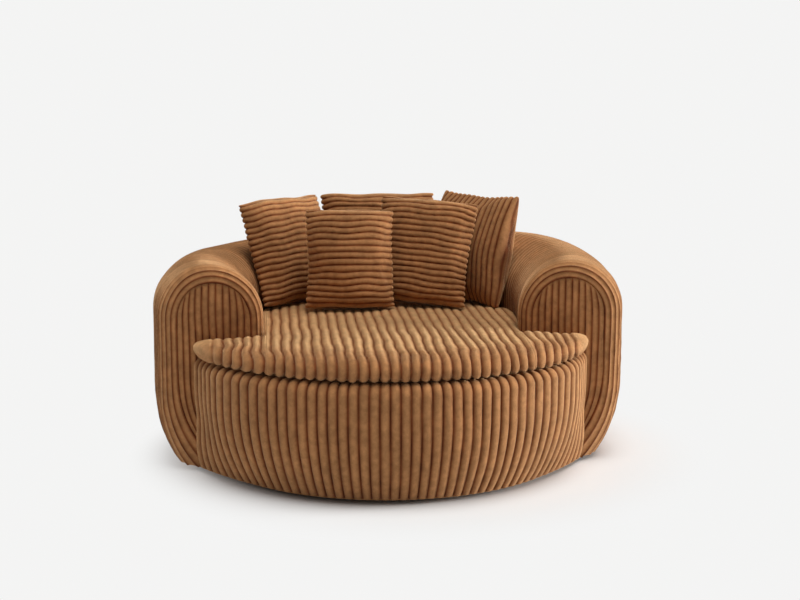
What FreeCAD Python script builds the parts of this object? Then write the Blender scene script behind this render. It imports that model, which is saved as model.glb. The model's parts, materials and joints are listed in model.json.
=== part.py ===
import FreeCAD, Part
import math
import os

# A round lounge chair: a C-shaped roll for back and arms on a bowed base, a loose seat cushion
# and five scatter cushions. Lengths are in millimetres, angles in degrees.
# Origin: floor level at the middle of the round plan. +Z is up and the chair faces -Y.

# Overall form
overall_width = 1500.0
roll_width = 320.0
roll_height = 636.0
arm_bend_radius = 1000.0
arm_face_y = -294.0
arm_seam_y = -150.0
arm_proud = 4.0
arm_face_round = 42.0
arm_front_margin = 0.4
tuck_radius = 440.0
tuck_height = 260.0
hem_height = 20.0

# Bowed base front
bow_centre_y = -95.0
bow_radius = 655.0
bow_shoulder = 34.0

# Upholstery build-up, from the fabric inwards
cover_thickness = 6.0
foam_thickness = 46.0
lining_thickness = 4.0
layer_gap = 0.3
frame_gap = 2.0
board_gap = 2.0

# Base board, feet and underside
board_thickness = 18.0
dust_cover_thickness = 1.5
dust_cover_margin = 8.0
foot_count = 5
foot_ring_radius = 470.0
foot_size = 60.0
foot_taper = 5.0
foot_housing = 4.0
foot_gap = 0.1

# Plywood formers and rings
former_thickness = 15.0
former_angles = (0.0, 45.0, 90.0, 135.0, 180.0)
former_names = (
    "former_side_right", "former_rear_right", "former_back", "former_rear_left", "former_side_left",
)
arm_former_setback = 62.0
ring_thickness = 18.0
top_ring_width = 96.0
top_ring_drop = 136.0
seat_ring_overhang = 46.0
seat_ring_width = 100.0
halving_gap = 0.2

# Seat frame
deck_height = 363.7
rail_top = 330.0
rail_depth = 60.0
rail_thickness = 25.0
rail_outer_x = 345.0
rail_back_y = 245.0
post_size = 45.0
front_rib_thickness = 15.0
front_rib_inner_radius = 500.0
front_rib_angles = (-55.0, -28.0, 0.0, 28.0, 55.0)

# Webbing, woven over and under
strap_width = 60.0
strap_thickness = 1.5
strap_lift = 1.7
strap_end = 3.0
long_strap_count = 5
cross_strap_count = 5

# Deck under the seat cushion
deck_cloth_thickness = 2.0
bow_lip = 46.0

# Loose seat cushion
seat_gap = 0.3
seat_side_gap = 7.0
seat_front_setback = 10.0
seat_crown = 81.0
seat_tip_height = 56.0
seat_tip_x = 606.0
seat_channel_count = 41
channel_depth = 6.0
seat_nose_depth = 62.0
seat_foot_round = 22.0
cushion_wall = 3.0
seat_zip_length = 420.0
seat_zip_y = 260.0
core_gap = 0.4

# Scatter cushions: the bottom middle of each stands at a bearing from +X, stand_off inside the
# roll's inner face and rise over the seat's crown there, then turns, leans back and spins
scatter_wale = 21.0
scatter_wale_depth = 3.0
scatter_draw_in = 13.0
scatter_edge = 10.0
scatter_zip_length = 180.0
zip_thickness = 2.4
zip_depth = 9.0
zip_gap = 0.1

scatters = {
    "scatter_left": {
        "bearing": 139.45, "stand_off": 96.2, "rise": -2.5, "turn": 42.9, "lean": 18.9, "spin": 1.1,
        "width": 370.0, "height": 364.0, "thickness": 130.0, "upright": False,
    },
    "scatter_front": {
        "bearing": 170.26, "stand_off": 316.6, "rise": 0.5, "turn": -1.8, "lean": 11.2, "spin": 0.0,
        "width": 295.0, "height": 327.0, "thickness": 122.0, "upright": False,
    },
    "scatter_rear": {
        "bearing": 88.12, "stand_off": 61.4, "rise": -4.1, "turn": 0.0, "lean": 11.4, "spin": 0.6,
        "width": 401.0, "height": 352.0, "thickness": 100.0, "upright": False,
    },
    "scatter_middle": {
        "bearing": 35.30, "stand_off": 297.8, "rise": 5.9, "turn": -18.7, "lean": 17.4, "spin": -4.2,
        "width": 334.0, "height": 359.0, "thickness": 120.0, "upright": False,
    },
    "scatter_right": {
        "bearing": 33.55, "stand_off": 105.9, "rise": -4.2, "turn": -46.5, "lean": 16.9, "spin": 0.7,
        "width": 338.0, "height": 379.0, "thickness": 118.0, "upright": True,
    },
}

# Shares of the sizes they follow
nose_low_share = 0.34
nose_middle_share = 0.66
nose_high_share = 0.86
nose_middle_run_share = 0.2
tail_low_share = 0.42
tail_high_share = 0.93
end_round_share = 0.35
round_station_shares = (0.0, 0.29, 1.0)
lens_shares = (-1.0, -0.5, 0.0, 0.5, 1.0)

# How finely round forms are divided
back_strips = 16
arm_strips = 2
front_strips = 16
top_chords = 5
tuck_chords = 3
seat_top_chords = 3
core_strips = 16
fill_strips = 6

roll_half = roll_width / 2
outer_radius = overall_width / 2
path_radius = outer_radius - roll_half
arm_centre_x = path_radius - arm_bend_radius
spring_height = roll_height - roll_half
board_top = hem_height + board_thickness
foam_inset = cover_thickness + layer_gap
lining_inset = foam_inset + foam_thickness + layer_gap
frame_inset = lining_inset + lining_thickness + frame_gap
arm_former_y = arm_face_y + arm_former_setback
top_ring_height = roll_height - top_ring_drop
seat_under = deck_height + seat_gap
seat_inner_radius = path_radius - roll_half - seat_side_gap
quarter = 90.0
flatness = 1e-6
origin = FreeCAD.Vector(0, 0, 0)
up = FreeCAD.Vector(0, 0, 1)


def sin(angle):
    return math.sin(math.radians(angle))


def cos(angle):
    return math.cos(math.radians(angle))


# Outlines are lists of curves, each a line of two points or an arc of three

def edge(points):
    if len(points) == 3:
        return Part.Arc(*points).toShape()
    return Part.LineSegment(*points).toShape()


def wire(curves, place):
    return Part.Wire([edge([place(*point) for point in curve]) for curve in curves])


def flat(height):
    return lambda x, y: FreeCAD.Vector(x, y, height)


def polyline(points):
    return [[a, b] for a, b in zip(points, points[1:])]


def closed(curves):
    return curves + [[curves[-1][-1], curves[0][0]]]


def band(outer, inner):
    back = [curve[::-1] for curve in reversed(inner)]
    return closed(outer + [[outer[-1][-1], back[0][0]]] + back)


def chords(on_round, start, end, count):
    return polyline([on_round(start + (end - start) * i / count) for i in range(count + 1)])


def plate(curves, height, thickness):
    return Part.Face(wire(curves, flat(height))).extrude(up * thickness)


def upright_plate(curves, place, along, thickness):
    """A plate standing in a section plane, half its thickness to either side."""
    return Part.Face(wire(curves, place)).extrude(along * thickness).translated(along * (-thickness / 2))


def box(x0, x1, y0, y1, z0, z1):
    return Part.makeBox(x1 - x0, y1 - y0, z1 - z0, FreeCAD.Vector(x0, y0, z0))


def mirrored(shape):
    return shape.mirror(origin, FreeCAD.Vector(1, 0, 0))


def corners(curves, place):
    return [place(*curve[0]) for curve in curves]


def flat_face(points):
    return Part.Face(Part.makePolygon(points + points[:1]))


def strip_faces(near, far):
    """Flat faces between matching corners of two sections, in two triangles where they twist."""
    faces = []
    for i in range(len(near)):
        a, b, c, d = near[i - 1], near[i], far[i], far[i - 1]
        normal = (b - a).cross(c - a)
        twist = normal.dot(d - a) / normal.Length
        if abs(twist) < flatness:
            faces.append(flat_face([a, b, c, d]))
        else:
            faces += [flat_face([a, b, c]), flat_face([a, c, d])]
    return faces


def panelled(sections):
    """A solid of flat faces through a row of sections, each a ring of corners."""
    faces = [flat_face(sections[0]), flat_face(sections[-1])]
    for near, far in zip(sections, sections[1:]):
        faces += strip_faces(near, far)
    solid = Part.Solid(Part.Shell(faces))
    if solid.Volume < 0:
        solid.reverse()
    return solid


# The roll's section, in distance from its path and height

def roll_path(inset, foot):
    """From the inner foot up to the crest, and on down to the hem, where the outer wall tucks in."""
    radius = roll_half - inset
    tuck = tuck_radius - inset
    hem_turn = math.degrees(math.asin((tuck_height - hem_height) / tuck))

    def on_top(turn):
        return (-radius * cos(turn), spring_height + radius * sin(turn))

    def on_tuck(turn):
        return (roll_half - tuck_radius + tuck * cos(turn), tuck_height - tuck * sin(turn))

    inner = [[(-radius, foot), on_top(0)]] + chords(on_top, 0, quarter, top_chords)
    outer = chords(on_top, quarter, 2 * quarter, top_chords) + [[on_top(2 * quarter), on_tuck(0)]]
    outer += chords(on_tuck, 0, hem_turn, tuck_chords)
    return inner, outer


def whole_path(inset, foot):
    inner, outer = roll_path(inset, foot)
    return inner + outer


def path_x(y):
    return arm_centre_x + math.sqrt(arm_bend_radius ** 2 - y ** 2)


def on_back(angle):
    return lambda r, z: FreeCAD.Vector((path_radius + r) * cos(angle), (path_radius + r) * sin(angle), z)


def on_arm(side, y):
    return lambda r, z: FreeCAD.Vector(side * (path_x(y) + r), y, z)


def c_stations(end_y):
    """Section planes from the right arm round the back to the left arm."""
    arm_ys = [arm_seam_y * (i + 1) / arm_strips for i in range(arm_strips)]
    if end_y < arm_seam_y:
        arm_ys.append(end_y)
    else:
        arm_ys[-1] = end_y
    back = [on_back(2 * quarter * i / back_strips) for i in range(back_strips + 1)]
    return [on_arm(1, y) for y in reversed(arm_ys)] + back + [on_arm(-1, y) for y in arm_ys]


def c_solid(curves, end_y):
    return panelled([corners(curves, place) for place in c_stations(end_y)])


def c_line(r, end_y, spread=0.0):
    """The plan line at distance r from the roll's path, wider by spread along the arms."""
    def arm(side, share):
        return (side * (path_x(end_y * share) + r + spread), end_y * share)

    def back(angle):
        return ((path_radius + r) * cos(angle), (path_radius + r) * sin(angle))

    return [
        [arm(1, 1), arm(1, 1 / 2), back(0)],
        [back(0), back(quarter / 2), back(quarter)],
        [back(quarter), back(quarter * 3 / 2), back(2 * quarter)],
        [back(2 * quarter), arm(-1, 1 / 2), arm(-1, 1)],
    ]


def inside_back(r):
    """The largest distance from the path whose arc clears the straight strips of a wall at r."""
    return (path_radius + r) * cos(quarter / back_strips) - path_radius


# The bowed front's section, in distance from the bow's centre and height

def bow_wall(inset, top):
    radius = bow_radius - inset
    tuck = tuck_radius - inset
    hem_turn = math.degrees(math.asin((tuck_height - hem_height) / tuck))

    def on_tuck(turn):
        return (bow_radius - tuck_radius + tuck * cos(turn), tuck_height - tuck * sin(turn))

    return [[(radius, top), on_tuck(0)]] + chords(on_tuck, 0, hem_turn, tuck_chords)


def bow_path(inset):
    """From the lip under the seat cushion, over the shoulder and down the front to the hem."""
    top = deck_height - inset
    shoulder = bow_shoulder - inset
    centre = bow_radius - bow_shoulder

    def on_shoulder(turn):
        return (centre + shoulder * sin(turn), top - shoulder + shoulder * cos(turn))

    turn = chords(on_shoulder, 0, quarter, tuck_chords)
    return [[(bow_radius - bow_lip, top), on_shoulder(0)]] + turn + bow_wall(inset, top - shoulder)


def on_bow(angle):
    """A section plane of the bow, turned from straight ahead."""
    return lambda r, z: FreeCAD.Vector(r * sin(angle), bow_centre_y - r * cos(angle), z)


bow_reach = math.degrees(math.acos((bow_centre_y - arm_face_y - roll_half / 2) / bow_radius))


def inside_bow(radius):
    """The largest arc that clears the straight strips of a wall at this radius."""
    return radius * cos(bow_reach / front_strips)


def bow_solid(curves):
    turns = [bow_reach * (2 * i / front_strips - 1) for i in range(front_strips + 1)]
    ahead = box(-outer_radius, outer_radius, -overall_width, arm_face_y - layer_gap, 0, roll_height)
    return panelled([corners(curves, on_bow(turn)) for turn in turns]).common(ahead)


def bow_front(radius, face_y):
    """The arc of the bow ahead of face_y, from left to right."""
    half = math.sqrt(radius ** 2 - (face_y - bow_centre_y) ** 2)
    return [[(-half, face_y), (0, bow_centre_y - radius), (half, face_y)]]


def joined_plan(back, front):
    """The roll's plan line and the bow's arc, closed along the arm faces."""
    return back + [[back[-1][-1], front[0][0]]] + front + [[front[-1][-1], back[0][0]]]


# Base

def hem_reach(wall, inset, height):
    """How far out the tucked wall is at a height, for a wall that stands at wall above the tuck."""
    return wall - tuck_radius + math.sqrt((tuck_radius - inset) ** 2 - (tuck_height - height) ** 2)


board_r = inside_back(hem_reach(roll_half, frame_inset, hem_height))
board_front = inside_bow(hem_reach(bow_radius, frame_inset, hem_height))
board_face_y = arm_face_y + cover_thickness + board_gap


def base_plan(back_r, front_radius, back_y, front_y):
    return joined_plan(c_line(back_r, back_y), bow_front(front_radius, front_y))


def square_block(side, height, base, taper):
    """A square block at the origin that narrows by taper all round towards its foot."""
    def outline(half, z):
        return [flat(z)(*corner) for corner in [(-half, -half), (half, -half), (half, half), (-half, half)]]

    return panelled([outline(side / 2 - taper, base), outline(side / 2, base + height)])


def at_feet(block):
    """The block at each foot's place, turned to face the middle of the chair."""
    placed = []
    for i in range(foot_count):
        turn = 4 * quarter * i / foot_count
        turned = block.copy()
        turned.translate(FreeCAD.Vector(0, -foot_ring_radius, 0))
        turned.rotate(origin, up, turn)
        placed.append(turned)
    return placed


def bottom_board():
    board = plate(base_plan(board_r, board_front, board_face_y, board_face_y), hem_height, board_thickness)
    housing = square_block(foot_size + 2 * foot_gap, foot_housing + foot_gap, hem_height, 0)
    return board.cut(at_feet(housing))


def dust_cover():
    back = hem_reach(roll_half, dust_cover_margin, hem_height)
    front = hem_reach(bow_radius, dust_cover_margin, hem_height)
    plan = base_plan(back, front, arm_face_y + dust_cover_margin, arm_face_y + dust_cover_margin)
    base = hem_height - dust_cover_thickness
    opening = square_block(foot_size + 2 * foot_gap, dust_cover_thickness, base, 0)
    return plate(plan, base, dust_cover_thickness).cut(at_feet(opening))


def base_feet():
    return Part.makeCompound(at_feet(square_block(foot_size, hem_height + foot_housing, 0, foot_taper)))


def board_space(gap=0.0):
    """All the room up to the top of the bottom board, and gap more."""
    return box(-outer_radius, outer_radius, -outer_radius, outer_radius, 0, board_top + gap)


# Formers and rings

def former_crossings():
    """Each former's name, its section plane and the direction through its thickness."""
    radial = [(name, on_back(angle), FreeCAD.Vector(-sin(angle), cos(angle), 0))
              for name, angle in zip(former_names, former_angles)]
    arms = [("former_arm_right", on_arm(1, arm_former_y), FreeCAD.Vector(0, 1, 0)),
            ("former_arm_left", on_arm(-1, arm_former_y), FreeCAD.Vector(0, 1, 0))]
    return radial + arms


def formers():
    outline = closed(whole_path(frame_inset, hem_height))
    return {name: upright_plate(outline, place, along, former_thickness).cut(board_space())
            for name, place, along in former_crossings()}


def c_ring(inner, outer, height):
    end_y = arm_former_y - former_thickness / 2
    return plate(band(c_line(outer, end_y), c_line(inner, end_y)), height, ring_thickness)


def crossing_block(inner, outer, height, place, along):
    """The space of a former where it crosses a ring, between two distances from the path."""
    low = height - halving_gap
    top = height + ring_thickness + halving_gap
    outline = closed(polyline([(inner, low), (outer, low), (outer, top), (inner, top)]))
    return upright_plate(outline, place, along, former_thickness + 2 * halving_gap)


def halve(made, ring, inner, outer, height):
    """Each former loses the inner half of its crossing with the ring, and the ring the outer half."""
    middle = (max(inner, frame_inset - roll_half) + outer) / 2
    for name, place, along in former_crossings():
        made[name] = made[name].cut(crossing_block(inner - roll_half, middle, height, place, along))
        ring = ring.cut(crossing_block(middle, outer + roll_half, height, place, along))
    return ring


# Seat frame

post_reach = inside_bow(hem_reach(bow_radius, frame_inset, board_top))
rail_front_y = bow_centre_y - math.sqrt(post_reach ** 2 - rail_outer_x ** 2)
rail_base = rail_top - rail_depth
rail_inner_x = rail_outer_x - rail_thickness


def side_rail():
    return box(rail_inner_x, rail_outer_x, rail_front_y, rail_back_y, rail_base, rail_top)


def cross_rail(front_y):
    return box(-rail_inner_x, rail_inner_x, front_y, front_y + rail_thickness, rail_base, rail_top)


def seat_post(front_y):
    return box(rail_outer_x - post_size, rail_outer_x, front_y, front_y + post_size, board_top, rail_base)


def rails_room():
    reach = rail_outer_x + halving_gap
    return box(-reach, reach, rail_front_y - halving_gap, rail_back_y + halving_gap, 0, roll_height)


def front_top_board():
    moon = closed(bow_front(inside_bow(bow_radius - frame_inset), arm_face_y - board_gap))
    return plate(moon, rail_top - ring_thickness, ring_thickness).cut(rails_room())


def front_ribs():
    rib_top = rail_top - ring_thickness
    wall = bow_wall(frame_inset, rib_top)
    outline = closed(wall + polyline([wall[-1][-1], (front_rib_inner_radius, hem_height),
                                      (front_rib_inner_radius, rib_top)]))
    sag = bow_radius - inside_bow(bow_radius)
    ribs = []
    for angle in front_rib_angles:
        along = FreeCAD.Vector(cos(angle), sin(angle), 0)
        rib = upright_plate(outline, on_bow(angle), along, front_rib_thickness)
        rib.translate(FreeCAD.Vector(-sin(angle), cos(angle), 0) * sag)
        ribs.append(rib.cut(board_space()))
    return Part.makeCompound(ribs)


def front_panel():
    outer = bow_wall(lining_inset, rail_top)
    inner = bow_wall(lining_inset + lining_thickness, rail_top)
    return bow_solid(band(outer, inner))


# Webbing

def spread(count, reach):
    """Middles of count straps, evenly spread over plus and minus reach."""
    return [reach * (2 * (i + 1 / 2) / count - 1) for i in range(count)]


long_strap_xs = spread(long_strap_count, rail_inner_x)
web_middle_y = (rail_front_y + rail_back_y) / 2
web_reach = (rail_back_y - rail_front_y) / 2 - rail_thickness
cross_strap_ys = [web_middle_y + y for y in spread(cross_strap_count, web_reach)]


def long_strap(x):
    half = strap_width / 2
    return box(x - half, x + half, rail_front_y + strap_end, rail_back_y - strap_end,
               rail_top, rail_top + strap_thickness)


def cross_strap(index, middle_y):
    """Runs over one long strap and under the next, as a weave does."""
    end_x = rail_outer_x - strap_end
    half = strap_width / 2 + strap_thickness
    low = [(-end_x, rail_top), (-rail_inner_x, rail_top)]
    for i, x in enumerate(long_strap_xs):
        lift = strap_lift if (i + index) % 2 else -strap_lift
        low += [(x - half, rail_top + lift), (x + half, rail_top + lift)]
    low += [(rail_inner_x, rail_top), (end_x, rail_top)]
    high = [(x, z + strap_thickness) for x, z in reversed(low)]
    strap_y = middle_y - strap_width / 2
    face = Part.Face(wire(closed(polyline(low + high)), lambda x, z: FreeCAD.Vector(x, strap_y, z)))
    return face.extrude(FreeCAD.Vector(0, strap_width, 0))


# Linings, foam and covers of the roll

foam_foot = rail_top + layer_gap


def lining(half):
    """The inner or outer half of the bent board over the formers: half is 0 or 1."""
    outer = roll_path(lining_inset, foam_foot)[half]
    inner = roll_path(lining_inset + lining_thickness, foam_foot)[half]
    return c_solid(band(outer, inner), arm_former_y - former_thickness / 2)


def sleeve_curves(outer_inset, inner_inset):
    return band(whole_path(outer_inset, foam_foot), whole_path(inner_inset, foam_foot))


def foam_curves(half):
    outer = roll_path(foam_inset, foam_foot)[half]
    inner = roll_path(lining_inset - layer_gap, foam_foot)[half]
    return band(outer, inner)


def back_foam_inner():
    """The padding on the seat side, laid in straight staves that butt round the curve."""
    stations = [corners(foam_curves(0), place) for place in c_stations(arm_seam_y + layer_gap)]
    return Part.makeCompound([panelled(list(pair)) for pair in zip(stations, stations[1:])])


def back_foam_outer():
    """The padding on the outside, in one sheet butted to the inner staves at the crest."""
    return c_solid(foam_curves(1), arm_seam_y + layer_gap)


def back_cover():
    return c_solid(sleeve_curves(0, cover_thickness), arm_seam_y + layer_gap)


def arm_run(curves_at, stations):
    """A loft of sections across the right arm, at y places paired with insets."""
    return panelled([corners(curves_at(inset), on_arm(1, y)) for y, inset in stations])


def rounded_stations(face_y, radius):
    """Places and insets that round an end off at face_y."""
    return [(face_y + radius - radius * math.sqrt(1 - (1 - share) ** 2), radius * share)
            for share in round_station_shares]


arm_pad_y = arm_former_y - former_thickness / 2 - layer_gap


def arm_cover():
    """The arm's roll cover, drawn in round the edge of the arm face."""
    def curves(inset):
        return sleeve_curves(inset - arm_proud, inset - arm_proud + cover_thickness)

    straight = [(arm_seam_y - layer_gap, 0), (arm_pad_y, 0)]
    return arm_run(curves, straight + rounded_stations(arm_face_y, arm_face_round))


def arm_front():
    """The flat panel of an arm face."""
    inset = arm_face_round - arm_proud + cover_thickness + arm_front_margin
    outline = closed(whole_path(inset, hem_height))
    panel = Part.Face(wire(outline, on_arm(1, arm_face_y))).extrude(FreeCAD.Vector(0, cover_thickness, 0))
    bow = closed(bow_front(hem_reach(bow_radius, 0, hem_height), board_face_y))
    return panel.cut(plate(bow, 0, board_top + layer_gap))


def arm_foam():
    """A sleeve of foam round the arm, closed by a thick pad behind the arm face."""
    face_y = arm_face_y + cover_thickness + layer_gap
    outer_inset = foam_inset - arm_proud

    def pad_curves(inset):
        return closed(whole_path(outer_inset + inset, hem_height))

    def foam_sleeve(inset):
        return sleeve_curves(outer_inset, lining_inset - layer_gap)

    pad = arm_run(pad_curves, [(arm_pad_y, 0)] + rounded_stations(face_y, arm_face_round - foam_inset))
    sleeve = arm_run(foam_sleeve, [(arm_seam_y - layer_gap, 0), (arm_pad_y, 0)])
    return pad.cut(board_space(layer_gap)).fuse(sleeve)


def front_foam():
    inner = [[(bow_radius - bow_lip, rail_top), (bow_radius - lining_inset + layer_gap, rail_top)]]
    inner += bow_wall(lining_inset - layer_gap, rail_top)
    return bow_solid(band(bow_path(foam_inset), inner))


def front_cover():
    return bow_solid(band(bow_path(0), bow_path(cover_thickness)))


# Deck under the seat cushion

def deck_plan(front_radius):
    """The T-shaped space between the arms and over the bowed front."""
    face_y = arm_face_y - layer_gap
    side = c_line(inside_back(-roll_half) - layer_gap, face_y, -arm_proud)
    return joined_plan(side, bow_front(inside_bow(front_radius), face_y))


def deck_pad():
    low = rail_top + strap_lift + strap_thickness + layer_gap
    high = deck_height - deck_cloth_thickness - layer_gap
    return plate(deck_plan(bow_radius - lining_inset), low, high - low)


def deck_cloth():
    plan = deck_plan(bow_radius - bow_lip - layer_gap)
    return plate(plan, deck_height - deck_cloth_thickness, deck_cloth_thickness)


# Seat cushion, in sections across X

def seat_back(x):
    if abs(x) < seat_inner_radius:
        return math.sqrt(seat_inner_radius ** 2 - x ** 2)
    return arm_face_y - seat_side_gap


def seat_height(x):
    return seat_crown - (seat_crown - seat_tip_height) * (x / seat_tip_x) ** 2


def seat_section(x, inset, floor_inset):
    """Nose, crowned top, round back edge and flat underside, at one distance across."""
    front = bow_centre_y - math.sqrt((bow_radius - seat_front_setback) ** 2 - x ** 2) + inset
    back = seat_back(x) - inset
    low = seat_under + floor_inset
    height = seat_height(x) - inset - floor_inset
    nose = min(seat_nose_depth, (back - front) * end_round_share)
    foot = min(seat_foot_round, (back - front) * end_round_share)
    top_start = front + nose
    top_end = back - foot
    points = [
        (front + foot, low),
        (back - foot, low),
        (back, low + height * tail_low_share),
    ]
    for i in range(seat_top_chords + 1):
        share = i / seat_top_chords
        edge_share = tail_high_share + (nose_high_share - tail_high_share) * share
        rise = edge_share + (1 - edge_share) * (1 - (2 * share - 1) ** 2)
        points.append((top_end + (top_start - top_end) * share, low + height * rise))
    points.append((front + nose * nose_middle_run_share, low + height * nose_middle_share))
    points.append((front, low + height * nose_low_share))
    return [FreeCAD.Vector(x, y, z) for y, z in points]


def arm_space(gap):
    """The room that both arms take beside the seat cushion."""
    inner = c_line(-roll_half - gap, arm_face_y - gap)[0]
    corner = inner[0]
    curves = [inner, [inner[-1], (outer_radius, 0)], [(outer_radius, 0), (outer_radius, corner[1])]]
    block = plate(closed(curves), seat_under - roll_half, roll_width)
    return [block, mirrored(block)]


def seat_block(reach, count, crest, groove, floor_inset, side_gap):
    sections = []
    for i in range(count + 1):
        inset = crest if i % 2 else groove
        sections.append(seat_section(reach * (2 * i / count - 1), inset, floor_inset))
    return panelled(sections).cut(arm_space(side_gap))


def seat_zip_box(gap):
    half = seat_zip_length / 2 + gap
    width = zip_thickness / 2 + gap
    return box(-half, half, seat_zip_y - width, seat_zip_y + width,
               seat_under - gap, seat_under + cushion_wall)


core_inset = channel_depth + cushion_wall
core_reach = seat_tip_x - 2 * core_inset


def seat_room(gap):
    """The space inside the seat cushion's cover, smaller by gap all round."""
    inset = core_inset + gap
    return seat_block(core_reach - gap, core_strips, inset, inset, cushion_wall + gap,
                      seat_side_gap + cushion_wall + gap)


def seat_cushion_cover():
    skin = seat_block(seat_tip_x, seat_channel_count * 2, 0, channel_depth, 0, seat_side_gap)
    return skin.cut([seat_room(0), seat_zip_box(zip_gap)])


# Scatter cushions, each made upright at the origin and then turned into its place

def pillow_section(share, run, across, thickness, trim, seam_trim, upright):
    """A lens across the cushion at one share of its run, narrower where the sides draw in."""
    swell = math.sqrt(4 * share * (1 - share))
    half = across / 2 - scatter_draw_in * swell - trim - seam_trim
    bulge = scatter_edge / 2 + (thickness - scatter_edge) / 2 * math.sqrt(swell) - trim
    near = [(half * s, -bulge * (1 - s ** 2)) for s in lens_shares]
    far = [(half * s, bulge * (1 - s ** 2)) for s in reversed(lens_shares[1:-1])]
    along = run * share

    def place(u, n):
        if upright:
            return FreeCAD.Vector(along - run / 2, n, u + across / 2)
        return FreeCAD.Vector(u, n, along)

    return [place(*point) for point in near + far]


def pillow(width, height, thickness, upright, strips, crest, groove, end_trim):
    run, across = (width, height) if upright else (height, width)
    end = end_trim / run
    sections = []
    for i in range(strips + 1):
        share = end + (1 - 2 * end) * i / strips
        trim = crest if i % 2 else groove
        sections.append(pillow_section(share, run, across, thickness, trim, end_trim, upright))
    return panelled(sections)


def scatter_placement(bearing, stand_off, rise, turn, lean, spin):
    reach = path_radius - roll_half - stand_off
    x = reach * cos(bearing)
    y = reach * sin(bearing)
    turned = FreeCAD.Rotation(up, turn)
    leant = FreeCAD.Rotation(FreeCAD.Vector(1, 0, 0), -lean)
    spun = FreeCAD.Rotation(FreeCAD.Vector(0, 1, 0), -spin)
    stand = FreeCAD.Vector(x, y, seat_under + seat_height(x) + rise)
    return FreeCAD.Placement(stand, turned.multiply(leant).multiply(spun))


def scatter_parts(name, width, height, thickness, upright, **place):
    """The cover, fill and zip of one scatter cushion."""
    size = (width, height, thickness, upright)
    wales = 2 * round((width if upright else height) / scatter_wale)
    skin = pillow(*size, wales, 0, scatter_wale_depth, 0)
    trim = scatter_wale_depth + cushion_wall / 2
    end_trim = zip_depth + layer_gap
    room = pillow(*size, fill_strips, trim, trim, end_trim)
    fill = pillow(*size, fill_strips, trim + layer_gap, trim + layer_gap, end_trim + layer_gap)
    half = scatter_zip_length / 2
    thin = zip_thickness / 2
    base = scatter_draw_in + scatter_wale_depth if upright else 0
    tape = box(-half, half, -thin, thin, base, base + zip_depth)
    slit = box(-half - zip_gap, half + zip_gap, -thin - zip_gap, thin + zip_gap, -zip_depth,
               scatter_draw_in + 2 * zip_depth)
    made = {name + "_cover": skin.cut([room, slit]), name + "_fill": fill, name + "_zip": tape}
    for shape in made.values():
        shape.Placement = scatter_placement(**place)
    return made


def frame_parts():
    made = formers()
    half_width = top_ring_width / 2
    top_ring = halve(made, c_ring(-half_width, half_width, top_ring_height),
                     -half_width, half_width, top_ring_height)
    inner = frame_inset - roll_half - seat_ring_overhang
    outer = inner + seat_ring_width
    height = rail_top - ring_thickness
    seat_ring = halve(made, c_ring(inner, outer, height), inner, outer, height)
    made["top_ring"] = top_ring
    made["seat_ring"] = seat_ring.cut(rails_room())
    made["seat_rail_front"] = cross_rail(rail_front_y)
    made["seat_rail_back"] = cross_rail(rail_back_y - rail_thickness)
    made["front_top_board"] = front_top_board()
    made["front_ribs"] = front_ribs()
    made["front_panel"] = front_panel()
    return made


def paired_parts():
    """The pieces made for the right side and mirrored for the left."""
    right = {
        "seat_rail": side_rail(),
        "seat_post_front": seat_post(rail_front_y),
        "seat_post_back": seat_post(rail_back_y - post_size),
        "arm_foam": arm_foam(),
        "arm_cover": arm_cover(),
        "arm_front": arm_front(),
    }
    made = {}
    for name, shape in right.items():
        made[name + "_right"] = shape
        made[name + "_left"] = mirrored(shape)
    return made


def model():
    parts = {
        "bottom_board": bottom_board(),
        "dust_cover": dust_cover(),
        "base_feet": base_feet(),
        "webbing_long": Part.makeCompound([long_strap(x) for x in long_strap_xs]),
        "webbing_cross": Part.makeCompound([cross_strap(i, y) for i, y in enumerate(cross_strap_ys)]),
        "inner_lining": lining(0),
        "outer_lining": lining(1),
        "back_foam_inner": back_foam_inner(),
        "back_foam_outer": back_foam_outer(),
        "back_cover": back_cover(),
        "front_foam": front_foam(),
        "front_cover": front_cover(),
        "deck_pad": deck_pad(),
        "deck_cloth": deck_cloth(),
        "seat_cushion_core": seat_room(core_gap),
        "seat_cushion_cover": seat_cushion_cover(),
        "seat_cushion_zip": seat_zip_box(0),
    }
    parts.update(frame_parts())
    parts.update(paired_parts())
    for name, scatter in scatters.items():
        parts.update(scatter_parts(name, **scatter))
    return parts


os.makedirs("parts", exist_ok=True)
for node, shape in model().items():
    shape.exportStep("parts/" + node + ".step")
    print(node, "solids", len(shape.Solids), "valid", shape.isValid(), "volume", round(shape.Volume))
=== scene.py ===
import json
import math

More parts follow.
